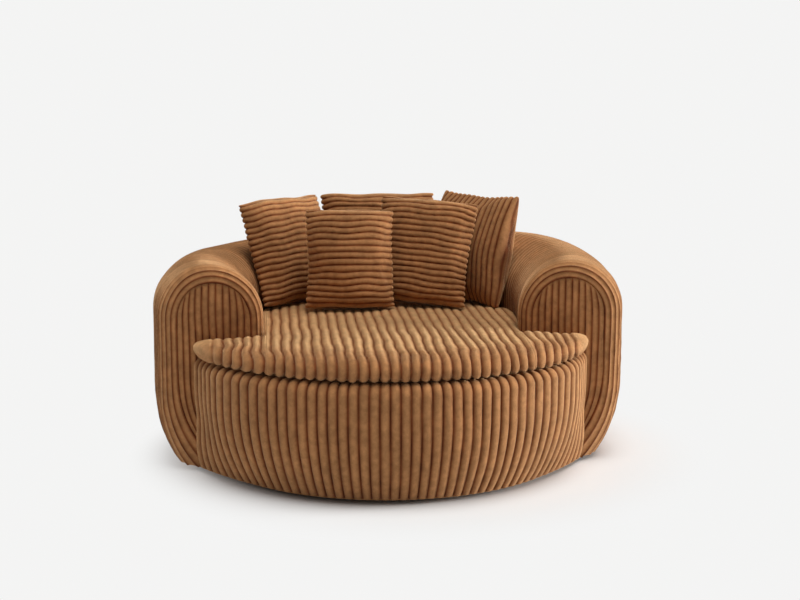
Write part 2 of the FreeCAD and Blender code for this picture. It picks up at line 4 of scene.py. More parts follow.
import bpy
import numpy as np
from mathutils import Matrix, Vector


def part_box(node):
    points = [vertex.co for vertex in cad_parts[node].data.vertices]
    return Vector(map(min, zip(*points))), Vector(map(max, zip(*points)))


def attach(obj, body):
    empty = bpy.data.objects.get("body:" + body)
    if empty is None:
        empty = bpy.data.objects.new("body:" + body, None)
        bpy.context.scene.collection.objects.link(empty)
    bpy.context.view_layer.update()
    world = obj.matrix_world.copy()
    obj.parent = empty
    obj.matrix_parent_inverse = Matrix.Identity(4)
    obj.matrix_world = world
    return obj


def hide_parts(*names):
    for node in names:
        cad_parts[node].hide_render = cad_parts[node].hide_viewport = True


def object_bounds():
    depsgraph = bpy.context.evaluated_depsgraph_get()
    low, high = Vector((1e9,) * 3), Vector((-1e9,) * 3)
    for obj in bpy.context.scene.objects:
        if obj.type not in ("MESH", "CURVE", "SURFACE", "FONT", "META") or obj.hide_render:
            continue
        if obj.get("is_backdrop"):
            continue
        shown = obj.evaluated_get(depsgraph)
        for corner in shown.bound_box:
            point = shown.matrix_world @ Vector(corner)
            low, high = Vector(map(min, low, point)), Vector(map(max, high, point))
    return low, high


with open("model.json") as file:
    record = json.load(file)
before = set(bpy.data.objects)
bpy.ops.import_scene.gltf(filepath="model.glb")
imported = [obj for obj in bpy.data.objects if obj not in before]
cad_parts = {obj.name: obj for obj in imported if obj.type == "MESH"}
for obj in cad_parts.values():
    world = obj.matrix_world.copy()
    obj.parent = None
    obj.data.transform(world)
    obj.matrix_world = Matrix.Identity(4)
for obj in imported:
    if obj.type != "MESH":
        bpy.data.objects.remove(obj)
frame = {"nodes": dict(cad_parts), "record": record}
cadLow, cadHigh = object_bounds()
scene = bpy.context.scene
print("frame loaded:", len(frame["nodes"]), "nodes")

# The chair's own sizes in metres
roll = {"half": 0.160, "path": 0.590, "spring": 0.476, "tuckRadius": 0.440, "tuckHeight": 0.260,
        "foot": 0.336, "hem": 0.012, "hemRound": 0.010, "padding": 0.050}
arm = {"bend": 1.0, "centreX": -0.410, "faceY": -0.294, "seamY": -0.150, "proud": 0.004, "edgeRound": 0.048,
       "hemRound": 0.090, "aboveTuck": 0.04, "hemPower": 1.5}
bow = {"centreY": -0.095, "radius": 0.655, "shoulder": 0.034, "lip": 0.046, "top": 0.3637, "inside": 0.030}
seat = {"under": 0.364, "crown": 0.081, "tipHeight": 0.056, "tipX": 0.606, "frontRadius": 0.645,
        "backRadius": 0.426, "sideX": 0.3856, "sideGap": 0.004, "nose": 0.085, "slope": 0.17, "foot": 0.022,
        "tipFrom": 0.525, "plainFrom": 0.540, "wales": 41, "depth": 0.0095, "puff": 0.0022, "ease": 0.0015}

# The centre of the tuck's round across the roll, and a quarter turn
tuckX = roll["half"] - roll["tuckRadius"]
quarter = math.pi / 2


# Small helpers

def pick(piece):
    bpy.ops.object.select_all(action="DESELECT")
    piece.select_set(True)
    bpy.context.view_layer.objects.active = piece


def applyModifiers(piece):
    pick(piece)
    for modifier in list(piece.modifiers):
        bpy.ops.object.modifier_apply(modifier=modifier.name)


def readField(items, field, width):
    values = np.zeros(len(items) * width, np.float32)
    items.foreach_get(field, values)
    return values.reshape(-1, width).astype(float)


def readPoints(mesh):
    return readField(mesh.vertices, "co", 3)


def writePoints(mesh, points):
    mesh.vertices.foreach_set("co", np.asarray(points, float).ravel())
    mesh.update()


def writeValues(mesh, name, values):
    attribute = mesh.attributes.get(name) or mesh.attributes.new(name, "FLOAT", "POINT")
    attribute.data.foreach_set("value", np.asarray(values, np.float32).ravel())


def smoothStep(low, high, value):
    t = np.clip((value - low) / (high - low), 0, 1)
    return t * t * (3 - 2 * t)


# Soft rolling noise between -1 and 1, from crossed waves about size long
def unevenness(points, size, seed):
    total = np.zeros(points.shape[:-1])
    for i in range(6):
        turn = seed * 1.7 + i * 2.399
        tilt = math.sin(seed * 0.9 + i * 1.3) * 0.8
        direction = np.array([math.cos(turn) * math.cos(tilt), math.sin(turn) * math.cos(tilt), math.sin(tilt)])
        wave = 2 * math.pi / (size * (0.75 + 0.17 * i))
        total += np.sin(points @ direction * wave + seed * 3.1 + i * 1.9)
    return total / 3.2


# A smooth line through a few points, with steps points along each span
def smoothLine(points, steps):
    points = np.asarray(points, float)
    padded = np.vstack([2 * points[0] - points[1], points, 2 * points[-1] - points[-2]])
    line = []
    for i in range(len(points) - 1):
        a, b, c, d = padded[i:i + 4]
        for t in np.arange(steps[i]) / steps[i]:
            line.append(0.5 * (2 * b + (c - a) * t + (2 * a - 5 * b + 4 * c - d) * t ** 2
                               + (3 * b - a - 3 * c + d) * t ** 3))
    return np.array(line + [points[-1]])


# Points round part of a circle in a plane, from one turn to the other, both measured from its first axis
def arcPoints(x, y, radius, first, last, count, closed=True):
    turns = np.linspace(first, last, count, endpoint=closed)
    return [(x + radius * math.cos(t), y + radius * math.sin(t)) for t in turns]


# A flat grid piece whose points are moved to a grid of places, and the order they are kept in
def gridPiece(points):
    rows, columns = points.shape[:2]
    bpy.ops.mesh.primitive_grid_add(x_subdivisions=columns - 1, y_subdivisions=rows - 1, size=1)
    piece = bpy.context.object
    flat = readPoints(piece.data)
    order = np.lexsort((flat[:, 0].round(5), flat[:, 1].round(5)))
    flat[order] = points.reshape(-1, 3)
    writePoints(piece.data, flat)
    return piece, order


# Values given over the grid, written to the piece's points
def writeOverGrid(piece, order, name, values):
    placed = np.zeros(len(order))
    placed[order] = values.ravel()
    writeValues(piece.data, name, placed)


def joinPieces(pieces):
    pick(pieces[0])
    for piece in pieces:
        piece.select_set(True)
    bpy.ops.object.join()
    return pieces[0]


# Rings of points as one grid that closes both ways
def closedGrid(rings):
    points = np.stack(rings, axis=0)
    points = np.concatenate([points, points[:, :1]], axis=1)
    return np.concatenate([points, points[:1]], axis=0)


# Outward directions of a grid of points: rows run along the wales, columns across them
def gridNormals(points):
    down = np.gradient(points, axis=0)
    over = np.gradient(points, axis=1)
    normals = np.cross(over, down)
    return normals / np.maximum(np.linalg.norm(normals, axis=-1, keepdims=True), 1e-9)


# Height of a wale between its two grooves, from the place across them
def waleShape(across):
    side = np.abs(2 * (across - np.floor(across)) - 1)
    return np.sqrt(1 - np.minimum(side, 0.995) ** 2)


# The stuffing isn't quite even: the roll is fuller at the right rear and slacker along its left side.
# Swells are a height, the angle round the chair where they are, and how far they reach round it
stuffing = {"swells": ((0.016, 30, 25), (-0.009, 148, 22)), "heights": (0.30, 0.52), "reaches": (0.46, 0.58),
            "outward": 0.6, "slack": 0.010, "slackFrom": (-0.58, -0.72), "slackHeights": (0.02, 0.30)}


def settled(points):
    x, y, z = points[..., 0], points[..., 1], points[..., 2]
    angle, reach = np.degrees(np.arctan2(y, x)), np.hypot(x, y)
    full = sum(swell * np.exp(-((angle - middle) / width) ** 2) for swell, middle, width in stuffing["swells"])
    full = full * smoothStep(*stuffing["heights"], z) * smoothStep(*stuffing["reaches"], reach)
    slack = stuffing["slack"] * smoothStep(*stuffing["slackFrom"], x) * smoothStep(*stuffing["slackHeights"], z)
    spread = stuffing["outward"] * full / np.maximum(reach, 0.1)
    return np.stack([x + spread * x + slack, y + spread * y, z + full], axis=-1)


# A closed fabric piece on a grid of points, corded across: across counts wales, depth is how far
# the grooves sink and strength fades them
def cordedGrid(name, points, across, strength, depth, outward=1, waver=0.0, waverSize=0.12, seed=1, paintedSheen=0.0):
    over = points.shape[:2]
    across = np.broadcast_to(across, over) + waver * unevenness(points, waverSize, seed)
    strength = np.broadcast_to(strength, over)
    height = waleShape(across)
    piece, order = gridPiece(points - outward * gridNormals(points) * (depth * strength * (1 - height))[..., None])
    piece.name = name
    # The wale height paints shade into the grooves and a highlight onto the crests; the second mark says where a
    # painted sheen makes the colour paler
    crest = 1 - np.clip(strength, 0, 1) * (1 - height)
    writeOverGrid(piece, order, "waleHeight", crest)
    writeOverGrid(piece, order, "paintedSheen", np.broadcast_to(paintedSheen, over))
    bpy.ops.object.mode_set(mode="EDIT")
    bpy.ops.mesh.select_all(action="SELECT")
    bpy.ops.mesh.remove_doubles(threshold=0.00002)
    bpy.ops.mesh.fill_holes(sides=0)
    bpy.ops.mesh.normals_make_consistent(inside=False)
    bpy.ops.object.mode_set(mode="OBJECT")
    return piece


def finishPiece(piece, body, replaced, slot="jumbo_cord"):
    piece.data.materials.clear()
    piece.data.materials.append(finishes[slot])
    pick(piece)
    bpy.ops.object.shade_smooth()
    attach(piece, body)
    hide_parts(*replaced)


# Materials

def setInputs(node, values):
    for name, value in values.items():
        node.inputs[name].default_value = value


# A new material with its nodes and links, the surface's own shader and the place on the object
def newMaterial(name):
    material = bpy.data.materials.new(name)
    material.use_nodes = True
    nodes = material.node_tree.nodes
    place = nodes.new("ShaderNodeTexCoord").outputs["Object"]
    return material, nodes, material.node_tree.links, nodes["Principled BSDF"], place


def noiseNode(nodes, links, vector, scale, detail=3.0, roughness=0.6):
    noise = nodes.new("ShaderNodeTexNoise")
    setInputs(noise, {"Scale": scale, "Detail": detail, "Roughness": roughness})
    links.new(vector, noise.inputs["Vector"])
    return noise.outputs["Fac"]


def rampNode(nodes, links, factor, stops):
    ramp = nodes.new("ShaderNodeValToRGB")
    elements = ramp.color_ramp.elements
    while len(elements) < len(stops):
        elements.new(0.5)
    for element, (place, colour) in zip(elements, stops):
        element.position = place
        element.color = (*colour, 1)
    links.new(factor, ramp.inputs["Fac"])
    return ramp.outputs["Color"]


def mixNode(nodes, links, blend, factor, first, second):
    mix = nodes.new("ShaderNodeMix")
    mix.data_type = "RGBA"
    mix.blend_type = blend
    colours = [socket for socket in mix.inputs if socket.type == "RGBA"]
    for socket, value in ((mix.inputs["Factor"], factor), (colours[0], first), (colours[1], second)):
        if isinstance(value, (int, float)):
            socket.default_value = value
        elif isinstance(value, tuple):
            socket.default_value = (*value, 1)
        else:
            links.new(value, socket)
    return next(socket for socket in mix.outputs if socket.type == "RGBA")


def bumpNode(nodes, links, height, strength, distance, after=None):
    bump = nodes.new("ShaderNodeBump")
    setInputs(bump, {"Strength": strength, "Distance": distance})
    links.new(height, bump.inputs["Height"])
    if after:
        links.new(after, bump.inputs["Normal"])
    return bump.outputs["Normal"]


def attributeNode(nodes, name):
    attribute = nodes.new("ShaderNodeAttribute")
    attribute.attribute_name = name
    return attribute.outputs["Fac"]


# Two greys at two places of a ramp, to multiply a colour by
def shadeNode(nodes, links, factor, dark, light):
    return rampNode(nodes, links, factor, [(place, (grey,) * 3) for place, grey in (dark, light)])


# The pile's colours from groove to crest, darker in the grooves partly for thinner pile and partly as painted
# shade, paler on the crests as a painted highlight; the noise of its patches, blotches, tufts and fibres, the
# shades they take, what the painted sheen on the seat's top multiplies the colour by, and the surface
cord = {
    "colours": [(0.0, (0.036, 0.007, 0.002)), (0.45, (0.164, 0.040, 0.010)), (0.98, (0.435, 0.204, 0.080))],
    "noises": ((11.0, 2.0), (46.0, 2.0), (420.0, 3.0, 0.7), (1500.0, 2.0)),
    "patch": ((0.3, 0.84), (0.7, 1.064)), "blotch": ((0.34, 0.80), (0.66, 1.10)),
    "tuft": ((0.3, 0.80), (0.7, 1.10)), "tuftShare": 0.8, "paintedSheenTint": (1.32, 1.60, 1.80),
    "surface": {"Roughness": 0.92, "Specular IOR Level": 0.15, "Sheen Weight": 0.85, "Sheen Roughness": 0.38,
                "Sheen Tint": (1.0, 0.64, 0.34, 1)},
}


# Cord pile: deep brown in the grooves, partly painted shade, pale on the crests as a painted highlight, patchy
# where the pile turns, with a painted sheen that makes the seat's top paler
def cordMaterial(name):
    material, nodes, links, skin, place = newMaterial(name)
    patches, blotches, tufts, fibres = (noiseNode(nodes, links, place, *noise) for noise in cord["noises"])
    # Painted shade in the grooves and a painted highlight on the crests, partly the thinner pile in the grooves,
    # read from the wale height
    colour = rampNode(nodes, links, attributeNode(nodes, "waleHeight"), cord["colours"])
    for factor, shades in ((patches, cord["patch"]), (blotches, cord["blotch"])):
        colour = mixNode(nodes, links, "MULTIPLY", 1.0, colour, shadeNode(nodes, links, factor, *shades))
    # Painted sheen: the colour is made paler where the seat's top is marked
    pale = mixNode(nodes, links, "MULTIPLY", 1.0, colour, cord["paintedSheenTint"])
    colour = mixNode(nodes, links, "MIX", attributeNode(nodes, "paintedSheen"), colour, pale)
    fuzz = shadeNode(nodes, links, tufts, *cord["tuft"])
    colour = mixNode(nodes, links, "MULTIPLY", cord["tuftShare"], colour, fuzz)
    links.new(colour, skin.inputs["Base Color"])
    setInputs(skin, cord["surface"])
    rough = bumpNode(nodes, links, fibres, 0.5, 0.0006)
    links.new(bumpNode(nodes, links, tufts, 0.6, 0.0016, rough), skin.inputs["Normal"])
    return material


def wovenMaterial(name, dark, light, pitch, roughness):
    material, nodes, links, skin, place = newMaterial(name)
    mapping = nodes.new("ShaderNodeMapping")
    mapping.inputs["Scale"].default_value = (math.pi / pitch,) * 3
    links.new(place, mapping.inputs["Vector"])
    waves = []
    for direction in ("X", "Y"):
        wave = nodes.new("ShaderNodeTexWave")
        wave.bands_direction = direction
        setInputs(wave, {"Scale": 0.1, "Distortion": 0.4})
        links.new(mapping.outputs["Vector"], wave.inputs["Vector"])
        waves.append(wave.outputs["Fac"])
    weave = nodes.new("ShaderNodeMath")
    weave.operation = "MULTIPLY"
    links.new(waves[0], weave.inputs[0])
    links.new(waves[1], weave.inputs[1])
    soil = shadeNode(nodes, links, noiseNode(nodes, links, place, 9.0), (0.3, 0.8), (0.7, 1.0))
    colour = rampNode(nodes, links, weave.outputs[0], [(0.05, dark), (0.6, light)])
    colour = mixNode(nodes, links, "MULTIPLY", 0.5, colour, soil)
    links.new(colour, skin.inputs["Base Color"])
    skin.inputs["Roughness"].default_value = roughness
    links.new(bumpNode(nodes, links, weave.outputs[0], 0.5, pitch * 0.3), skin.inputs["Normal"])
    return material


def woodMaterial(name, dark, light, grain, layered):
    material, nodes, links, skin, place = newMaterial(name)
    mapping = nodes.new("ShaderNodeMapping")
    mapping.inputs["Scale"].default_value = (1.0, 0.12, 1.0) if not layered else (0.6, 0.6, 8.0)
    links.new(place, mapping.inputs["Vector"])
    streaks = noiseNode(nodes, links, mapping.outputs["Vector"], grain, 4.0, 0.65)
    pores = noiseNode(nodes, links, mapping.outputs["Vector"], grain * 9, 2.0)
    colour = rampNode(nodes, links, streaks, [(0.3, dark), (0.65, light)])
    shade = shadeNode(nodes, links, pores, (0.35, 0.6), (0.6, 1.0))
    colour = mixNode(nodes, links, "MULTIPLY", 0.4, colour, shade)
    links.new(colour, skin.inputs["Base Color"])
    skin.inputs["Roughness"].default_value = 0.62
    links.new(bumpNode(nodes, links, pores, 0.3, 0.0008), skin.inputs["Normal"])
    return material


def mouldedMaterial(name, dark, light, roughness, grain):
    material, nodes, links, skin, place = newMaterial(name)
    speckle = noiseNode(nodes, links, place, grain, 4.0)
    links.new(rampNode(nodes, links, speckle, [(0.35, dark), (0.65, light)]), skin.inputs["Base Color"])
    skin.inputs["Roughness"].default_value = roughness
    links.new(bumpNode(nodes, links, speckle, 0.25, 0.0004), skin.inputs["Normal"])
    return material


finishes = {
    "jumbo_cord": cordMaterial("jumbo_cord"),
    "plywood": woodMaterial("birch_plywood", (0.42, 0.27, 0.14), (0.66, 0.49, 0.30), 14.0, True),
    "timber": woodMaterial("pine_rail", (0.46, 0.29, 0.14), (0.70, 0.50, 0.28), 22.0, False),
    "board_lining": mouldedMaterial("fibreboard", (0.22, 0.14, 0.08), (0.32, 0.21, 0.12), 0.75, 240.0),
    "webbing": wovenMaterial("elastic_webbing", (0.03, 0.03, 0.03), (0.17, 0.15, 0.12), 0.0030, 0.7),
    "deck_fabric": wovenMaterial("deck_lining", (0.13, 0.07, 0.035), (0.27, 0.16, 0.09), 0.0022, 0.85),
    "dust_cloth": mouldedMaterial("dust_cloth", (0.012, 0.012, 0.012), (0.035, 0.035, 0.036), 0.9, 700.0),
    "feet": mouldedMaterial("moulded_foot", (0.010, 0.010, 0.011), (0.022, 0.022, 0.024), 0.45, 300.0),
    "foam": mouldedMaterial("cut_foam", (0.68, 0.62, 0.45), (0.80, 0.74, 0.56), 0.95, 500.0),
    "fibre_fill": mouldedMaterial("fibre_fill", (0.78, 0.76, 0.72), (0.86, 0.85, 0.82), 0.95, 200.0),
    "zip": wovenMaterial("zip_tape", (0.10, 0.05, 0.02), (0.30, 0.17, 0.08), 0.0024, 0.7),
}
print("materials made")


# The roll's section: distance from its path and height, from the foot on the seat side, over the
# crest and down the outer side to the hem, turned under, and back inside the padding

rollRows = {"inner": 12, "arch": 44, "outer": 18, "tuck": 20, "hem": 5, "insideTuck": 5, "insideArch": 9}


# The line that tucks in from the wall's foot to the hem and turns under it
def tuckedLine(centre, tuck, rows):
    hemRound = roll["hemRound"]
    hemTurn = math.asin((roll["tuckHeight"] - roll["hem"] - hemRound) / (tuck - hemRound))
    hemX = centre + (tuck - hemRound) * math.cos(hemTurn)
    return (arcPoints(centre, roll["tuckHeight"], tuck, 0, -hemTurn, rows, False)
            + arcPoints(hemX, roll["hem"] + hemRound, hemRound, -hemTurn, -quarter, rollRows["hem"]))


# The same tuck inside the padding, from the hem up to the wall's foot
def insideTuck(centre, tuck):
    low = math.asin((roll["tuckHeight"] - roll["hem"]) / tuck)
    return arcPoints(centre, roll["tuckHeight"], tuck, -low, 0, rollRows["insideTuck"])


def rollSection(inset):
    half = roll["half"] - inset
    inner = [(-half, z) for z in np.linspace(roll["foot"], roll["spring"], rollRows["inner"], endpoint=False)]
    arch = arcPoints(0, roll["spring"], half, math.pi, 0, rollRows["arch"], False)
    outer = [(half, z) for z in np.linspace(roll["spring"], roll["tuckHeight"], rollRows["outer"], endpoint=False)]
    return np.array(inner + arch + outer + tuckedLine(tuckX, roll["tuckRadius"] - inset, rollRows["tuck"]))


def liningSection(inset):
    depth = inset + roll["padding"]
    half = roll["half"] - depth
    arch = arcPoints(0, roll["spring"], half, 0, math.pi, rollRows["insideArch"])
    return np.array(insideTuck(tuckX, roll["tuckRadius"] - depth) + arch + [(-half, roll["foot"])])


# The whole closed ring of a section, and where along it the wales show
def closedRing(outside, inside):
    shown = np.concatenate([np.ones(len(outside)), np.zeros(len(inside)), [1]])
    shown[len(outside) - 2:len(outside)] = (0.5, 0.0)
    return np.vstack([outside, inside, outside[:1]]), shown


def ringSection(inset):
    return closedRing(rollSection(inset), liningSection(inset))


# Where a section's rows are over the arch: -1 at its inner foot, 0 at the crest, 1 at its outer foot
def besideCrest(ring):
    half = rollRows["arch"] / 2
    return (np.arange(len(ring)) - rollRows["inner"] - half) / half


def armPathX(y):
    return arm["centreX"] + math.sqrt(arm["bend"] ** 2 - y ** 2)


# The arm's front edge grows rounder towards the hem: 0 above the tuck, 1 at the hem
def towardsHem(z):
    start = roll["tuckHeight"] + arm["aboveTuck"]
    return np.clip((start - z) / (start - roll["hem"]), 0, 1) ** arm["hemPower"]


def placedOnArm(section, side, y):
    return np.stack([side * (armPathX(y) + section[:, 0]), np.full(len(section), y), section[:, 1]], axis=1)


def placedOnBack(section, angle):
    reach = roll["path"] + section[:, 0]
    return np.stack([reach * math.cos(angle), reach * math.sin(angle), section[:, 1]], axis=1)


# The back roll: hoops of cord from one arm seam round the back to the other

backWales = {"count": 76, "onArms": 6, "crest": 0.45, "depth": 0.0055}
columnsPerWale = 8
seamCurve = {"reach": 0.010, "sink": 0.007, "open": 0.0005, "backSteps": (0.008, 0.020, 0.036, 0.060),
             "armSteps": (0.3, 0.15, 0.05)}


def seamInset(distance):
    t = np.clip(1 - distance / seamCurve["reach"], 0, 1)
    return seamCurve["sink"] * (1 - math.sqrt(1 - t * t))


def makeBackRoll():
    seamY = arm["seamY"] + seamCurve["open"]
    count, onArms = backWales["count"], backWales["onArms"]
    shares = [i / (onArms * columnsPerWale) for i in range(onArms * columnsPerWale)]
    shares = sorted(set(shares + list(seamCurve["backSteps"])))
    armRings = [(ringSection(seamInset(abs(seamY) * share))[0], seamY * (1 - share)) for share in shares]
    backSteps = count * columnsPerWale
    ring, shown = ringSection(0)
    columns = [placedOnArm(armRing, 1, y) for armRing, y in armRings]
    columns += [placedOnBack(ring, math.pi * i / backSteps) for i in range(backSteps + 1)]
    columns += [placedOnArm(armRing, -1, y) for armRing, y in reversed(armRings)]
    across = [share * onArms for share in shares] + [onArms + i / columnsPerWale for i in range(backSteps + 1)]
    across += [2 * onArms + count - share * onArms for share in reversed(shares)]
    points = settled(np.stack(columns, axis=1))
    besideTop = smoothStep(0.5, 1.0, np.abs(besideCrest(ring)))
    strength = shown * (backWales["crest"] + (1 - backWales["crest"]) * besideTop)
    piece = cordedGrid("back_roll", points, across, strength[:, None], backWales["depth"],
                       waver=0.05, waverSize=0.3, seed=3)
    finishPiece(piece, "base", ("back_cover", "back_foam_inner", "back_foam_outer"))


# An arm's roll: arches of cord round the rounded edge of the arm face, fading over the crest

archWales = {"pitch": 0.0168, "round": 0.0754, "steps": 34, "straightSteps": 50, "behindFace": 0.010,
             "tucked": 0.006, "outside": -0.35, "shown": -0.3, "fadeFrom": 2.0, "fadeTo": 3.4, "fade": 0.88,
             "outerSide": (0.35, 0.95), "outerStrength": 0.85, "depth": 0.0058}


# The stations along an arm's roll for one rounding of its front edge: place, inset and wales passed
def armStations(edge):
    stations = [(arm["faceY"] + archWales["behindFace"], edge - arm["proud"] + archWales["tucked"],
                 archWales["outside"])]
    for t in np.linspace(0, quarter, archWales["steps"], endpoint=False):
        stations.append((arm["faceY"] + edge * (1 - math.cos(t)), edge - arm["proud"] - edge * math.sin(t),
                         archWales["round"] * t / quarter / archWales["pitch"]))
    startY = arm["faceY"] + edge
    endY = arm["seamY"] - seamCurve["open"]
    straight = endY - arm["faceY"] - arm["edgeRound"]
    waleStart = archWales["round"] / archWales["pitch"]
    shares = list(np.linspace(0, 1, archWales["straightSteps"]))
    shares += [1 - seamCurve["reach"] * back / straight for back in seamCurve["armSteps"]]
    for share in sorted(shares):
        y = startY + (endY - startY) * share
        stations.append((y, -arm["proud"] + seamInset(straight * (1 - share)),
                         waleStart + straight * share / archWales["pitch"]))
    return stations


def makeArmRoll(label, side):
    ring, shown = ringSection(0)
    columns, across = [], []
    for upper, lower in zip(armStations(arm["edgeRound"]), armStations(arm["hemRound"])):
        high = placedOnArm(ringSection(upper[1])[0], side, upper[0])
        low = placedOnArm(ringSection(lower[1])[0], side, lower[0])
        share = towardsHem(high[:, 2:3])
        columns.append(high * (1 - share) + low * share)
        across.append(upper[2])
    points = settled(np.stack(columns, axis=1))
    across = np.array(across)
    outerSide = smoothStep(*archWales["outerSide"], besideCrest(ring))[:, None]
    fade = 1 - archWales["fade"] * smoothStep(archWales["fadeFrom"], archWales["fadeTo"], across)
    strength = shown[:, None] * (fade[None, :] + (1 - fade[None, :]) * archWales["outerStrength"] * outerSide)
    strength = strength * smoothStep(archWales["shown"], 0.0, across)[None, :]
    piece = cordedGrid("arm_roll_" + label, points, across, strength, archWales["depth"], outward=side,
                       waver=0.08, waverSize=0.2, seed=5 + side)
    finishPiece(piece, "base", ("arm_cover_" + label, "arm_foam_" + label))


# An arm face: upright cord, drawn in under the arch at the top and along the tuck at the bottom

armFace = {"half": 0.116, "wales": 11, "rows": 84, "archRows": 26, "bulge": 0.004, "sink": 0.005,
           "sinkReach": 0.012, "aboveHem": 0.004, "thickness": 0.010, "edgeStrength": 0.25, "depth": 0.0058,
           "pullPower": 3, "edgeCos": 0.75, "backStep": 6}


def faceEdge(z):
    share = towardsHem(z)
    edges = []
    for edge in (arm["edgeRound"], arm["hemRound"]):
        tuck = roll["tuckRadius"] - edge + arm["proud"]
        drop = max(roll["tuckHeight"] - z, 0)
        edges.append(tuckX + math.sqrt(tuck ** 2 - drop ** 2))
    return edges[0] * (1 - share) + edges[1] * share


def makeArmFace(label, side):
    half = armFace["half"]
    columns, across, strength = [], [], []
    count = armFace["wales"] * columnsPerWale
    middle = armPathX(arm["faceY"])
    lowRows = armFace["rows"] - armFace["archRows"]
    heights = np.linspace(roll["hem"] + armFace["aboveHem"], roll["spring"], lowRows, endpoint=False)
    for i in range(count + 1):
        share = 2 * i / count - 1
        pull = abs(share) ** armFace["pullPower"]
        topCos = abs(share) * (1 - pull) / (1 - pull * abs(share)) if abs(share) < 1 else armFace["edgeCos"]
        topTurn = math.acos(min(topCos, 1))
        line = [(-half + (faceEdge(z) + half) * (share + 1) / 2, z) for z in heights]
        line += [(half * share * ((1 - pull) + pull * math.cos(turn)), roll["spring"] + half * math.sin(turn))
                 for turn in np.linspace(0, topTurn, armFace["archRows"])]
        line = np.array(line)
        low = line[:, 1] < roll["spring"]
        outer = np.array([faceEdge(z) for z in line[:, 1]])
        edge = np.where(low, np.minimum(line[:, 0] + half, outer - line[:, 0]),
                        half - np.hypot(line[:, 0], line[:, 1] - roll["spring"]))
        edge = np.minimum(np.maximum(edge, 0), line[:, 1] - roll["hem"])
        inward = armFace["sink"] * (1 - np.sqrt(1 - np.clip(1 - edge / armFace["sinkReach"], 0, 1) ** 2))
        swell = armFace["bulge"] * smoothStep(0, half, edge)
        front = np.stack([side * (middle + line[:, 0]), arm["faceY"] + inward - swell, line[:, 1]], axis=1)
        back = front[::-armFace["backStep"]].copy()
        back[:, 1] = arm["faceY"] + armFace["sink"] + armFace["thickness"]
        columns.append(np.vstack([front, back, front[:1]]))
        across.append((share + 1) / 2 * armFace["wales"])
        grown = smoothStep(0.0, armFace["sinkReach"], edge)
        grown = armFace["edgeStrength"] + (1 - armFace["edgeStrength"]) * grown
        strength.append(np.concatenate([grown, np.zeros(len(back)), [0]]))
    points = settled(np.stack(columns, axis=1))
    piece = cordedGrid("arm_face_" + label, points, across, np.stack(strength, axis=1), armFace["depth"],
                       outward=-side, waver=0.07, waverSize=0.16, seed=9 + side)
    finishPiece(piece, "base", ("arm_front_" + label,))


# The bowed base front: upright cord that curls in under the seat cushion and under the hem

baseWales = {"pitch": 0.0300, "widen": 0.25, "reach": 0.860, "straightFrom": math.radians(49),
             "straightTo": math.radians(63), "widenAlong": (0.2, 0.6), "flare": 0.36, "flareFrom": 0.50,
             "flareHeights": (0.03, 0.10), "leanFrom": 0.60, "lean": 0.036, "leanHeight": 0.20, "depth": 0.0088,
             "planSteps": 600}
bowRows = {"lip": 3, "curl": 9, "wall": 9, "tuck": 28}


def bowSection():
    radius, shoulder, tuck = bow["radius"], bow["shoulder"], roll["tuckRadius"]
    centre, top = radius - shoulder, bow["top"]
    lip = [(r, top) for r in np.linspace(radius - bow["lip"], centre, bowRows["lip"], endpoint=False)]
    curled = arcPoints(centre, top - shoulder, shoulder, quarter, 0, bowRows["curl"], False)
    wall = [(radius, z) for z in np.linspace(top - shoulder, roll["tuckHeight"], bowRows["wall"], endpoint=False)]
    outside = np.array(lip + curled + wall + tuckedLine(radius - tuck, tuck, bowRows["tuck"]))
    inside = insideTuck(radius - tuck, tuck - roll["padding"])
    return closedRing(outside, np.array(inside + [(radius - roll["padding"], top - bow["inside"])]))


# The plan line of the base front: round in front, straighter at its ends, where it runs into the arms.
# It gives the distance along it, the place, the way it faces and the number of wales passed
def bowPlan():
    run = np.linspace(0, baseWales["reach"], baseWales["planSteps"])
    start, most = baseWales["straightFrom"], baseWales["straightTo"]
    turn = run / bow["radius"]
    turn = np.where(turn < start, turn, most - (most - start) * np.exp(-(turn - start) / (most - start)))
    steps = np.diff(run)
    middles = (turn[1:] + turn[:-1]) / 2
    x = np.concatenate([[0], np.cumsum(np.cos(middles) * steps)])
    y = bow["centreY"] - bow["radius"] + np.concatenate([[0], np.cumsum(np.sin(middles) * steps)])
    pitch = baseWales["pitch"] * (1 + baseWales["widen"] * smoothStep(*baseWales["widenAlong"], run))
    wales = np.concatenate([[0], np.cumsum(2 * steps / (pitch[1:] + pitch[:-1]))])
    return run, x, y, turn, wales


def makeBaseFront():
    ring, shown = bowSection()
    run, x, y, turn, wales = bowPlan()
    count = int(wales[-1] * columnsPerWale)
    columns, across = [], []
    above, below = baseWales["flareHeights"]
    low = smoothStep(roll["tuckHeight"] + above, below, ring[:, 1])
    high = smoothStep(0.0, baseWales["leanHeight"], ring[:, 1])
    for i in range(-count, count + 1):
        wale = abs(i) / columnsPerWale
        side = -1 if i < 0 else 1
        turned, reached = np.interp(wale, wales, turn), np.interp(wale, wales, run)
        flare = baseWales["flare"] * smoothStep(baseWales["flareFrom"], baseWales["reach"], reached)
        lean = baseWales["lean"] * smoothStep(baseWales["leanFrom"], baseWales["reach"], reached)
        inward = (bow["radius"] - ring[:, 0]) * (1 - flare * low) + lean * high
        columns.append(np.stack([side * (np.interp(wale, wales, x) - inward * math.sin(turned)),
                                 np.interp(wale, wales, y) + inward * math.cos(turned), ring[:, 1]], axis=1))
        across.append(i / columnsPerWale + 0.5)
    points = np.stack(columns, axis=1)
    piece = cordedGrid("base_front", points, across, shown[:, None], baseWales["depth"],
                       outward=-1, waver=0.05, waverSize=0.16, seed=13)
    finishPiece(piece, "base", ("front_cover", "front_foam"))


# The seat cushion: puffed channels from the nose to the back, between the arms and over the front

def seatHeight(c):
    return seat["crown"] - (seat["crown"] - seat["tipHeight"]) * (c / seat["tipX"]) ** 2


